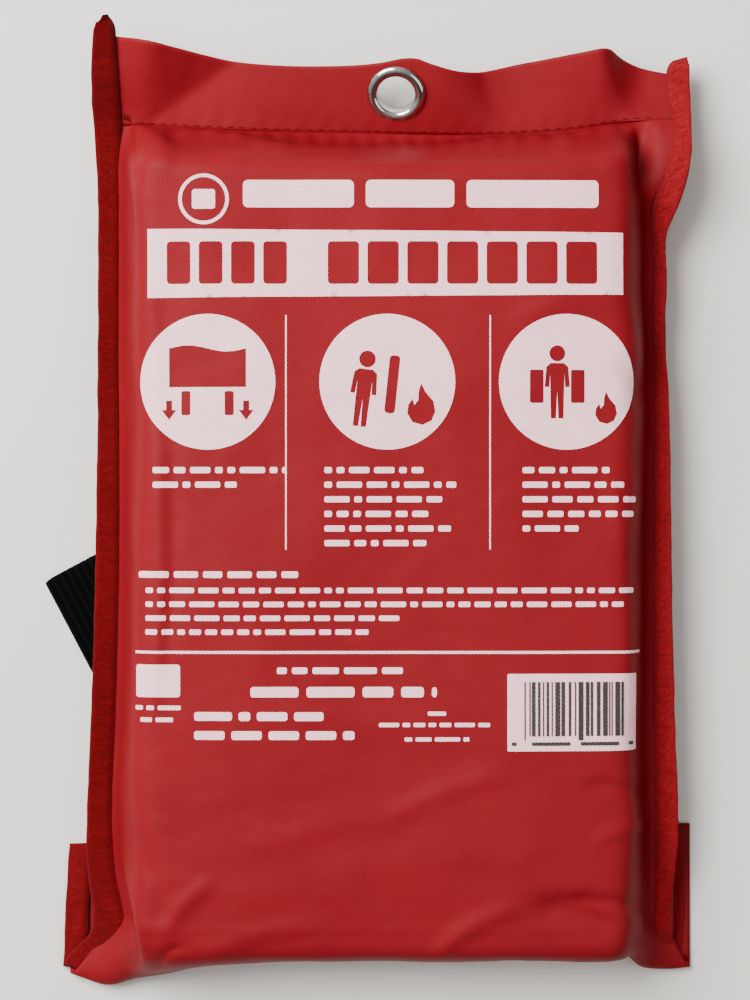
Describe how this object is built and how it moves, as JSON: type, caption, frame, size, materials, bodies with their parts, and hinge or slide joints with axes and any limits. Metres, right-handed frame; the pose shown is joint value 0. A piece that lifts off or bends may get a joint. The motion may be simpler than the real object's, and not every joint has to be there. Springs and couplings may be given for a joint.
{
  "type": "fire blanket",
  "caption": "Folded woven glass-fibre blanket in a red cloth hanging pouch, with a metal eyelet, bound edges, a fold-under flap and black webbing pull straps.",
  "frame": {"origin": "centre of the whole outline seen from above, at the level of the surface that the pouch lies on", "axes": "+Y from the mouth to the hanging eyelet, +X to the right seen from the printed face, +Z out of the printed face"},
  "size_m": [0.1896, 0.274, 0.0304],
  "materials": {
    "pouch_cloth": "coated woven polyester, low sheen",
    "edge_tape": "soft non-woven edge tape",
    "thread": "sewing thread",
    "eyelet_metal": "nickel plated, polished",
    "white_ink": "screen print, matt",
    "dark_ink": "screen print, matt",
    "glass_cloth": "plain woven glass fibre",
    "webbing": "woven polyester webbing",
    "strap_thread": "sewing thread",
    "closure_tape": "hook and loop pile"
  },
  "bodies": {
    "pouch": {"front_panel": "pouch_cloth", "rear_panel": "pouch_cloth", "header_band": "pouch_cloth", "header_stitching": "thread", "side_binding_left": "edge_tape", "side_binding_right": "edge_tape", "binding_stitching_left": "thread", "binding_stitching_right": "thread", "eyelet_barrel": "eyelet_metal", "eyelet_washer": "eyelet_metal", "front_print": "white_ink", "print_bars": "dark_ink"},
    "blanket": {"fire_blanket": "glass_cloth", "blanket_hem": "glass_cloth", "strap_anchor_left": "webbing", "strap_anchor_right": "webbing", "anchor_stitching": "strap_thread"},
    "flap_end": {"flap_end": "pouch_cloth", "end_binding_left": "edge_tape", "end_binding_right": "edge_tape"},
    "flap_lip": {"flap_lip": "pouch_cloth", "lip_binding_left": "edge_tape", "lip_binding_right": "edge_tape", "lip_stitching": "thread", "loop_tape": "closure_tape"},
    "mouth_lip": {"mouth_lip": "pouch_cloth", "hook_tape": "closure_tape", "mouth_stitching": "thread"},
    "strap_left_root": {"strap_left_root": "webbing"},
    "strap_right_root": {"strap_right_root": "webbing"},
    "strap_left_handle": {"strap_left_handle": "webbing", "strap_left_stitching": "strap_thread"},
    "strap_right_handle": {"strap_right_handle": "webbing", "strap_right_stitching": "strap_thread"}
  },
  "joints": [
    {"name": "blanket_pull", "type": "slide", "parent": "pouch", "child": "blanket", "axis": [0, -1, 0], "range_m": [0, 0.2], "deforming": ["flap_end", "end_binding_left", "end_binding_right", "flap_lip", "lip_binding_left", "lip_binding_right", "lip_stitching", "loop_tape", "mouth_lip", "hook_tape", "mouth_stitching"]},
    {"name": "flap_end_fold", "type": "hinge", "parent": "pouch", "child": "flap_end", "pos_m": [0.0051, -0.1357, 0.0297], "axis": [-1, 0, 0], "range_deg": [0, 90]},
    {"name": "flap_lip_fold", "type": "hinge", "parent": "flap_end", "child": "flap_lip", "pos_m": [0.0051, -0.1363, 0.0013], "axis": [-1, 0, 0], "range_deg": [0, 90]},
    {"name": "mouth_lip_fold", "type": "hinge", "parent": "pouch", "child": "mouth_lip", "pos_m": [0.0051, -0.1318, 0.0055], "axis": [-1, 0, 0], "range_deg": [0, 180]},
    {"name": "strap_left_fold", "type": "hinge", "parent": "blanket", "child": "strap_left_root", "pos_m": [-0.0384, -0.1341, 0.00285], "axis": [-1, 0, 0], "range_deg": [0, 180]},
    {"name": "strap_left_swing", "type": "hinge", "parent": "strap_left_root", "child": "strap_left_handle", "pos_m": [-0.0384, -0.091, 0.0016], "axis": [-0.8829, -0.4695, 0], "range_deg": [0, 90]},
    {"name": "strap_right_fold", "type": "hinge", "parent": "blanket", "child": "strap_right_root", "pos_m": [0.0486, -0.1341, 0.00285], "axis": [-1, 0, 0], "range_deg": [0, 180]},
    {"name": "strap_right_swing", "type": "hinge", "parent": "strap_right_root", "child": "strap_right_handle", "pos_m": [0.0486, -0.091, 0.0016], "axis": [-0.9781, 0.2079, 0], "range_deg": [0, 90]}
  ],
  "couplings": [
    {"joint": "flap_end_fold", "follows": "blanket_pull", "rad_per_m": 7.854},
    {"joint": "flap_lip_fold", "follows": "blanket_pull", "rad_per_m": 7.854},
    {"joint": "mouth_lip_fold", "follows": "blanket_pull", "rad_per_m": 15.708},
    {"joint": "strap_left_fold", "follows": "blanket_pull", "rad_per_m": 15.708},
    {"joint": "strap_right_fold", "follows": "blanket_pull", "rad_per_m": 15.708}
  ]
}
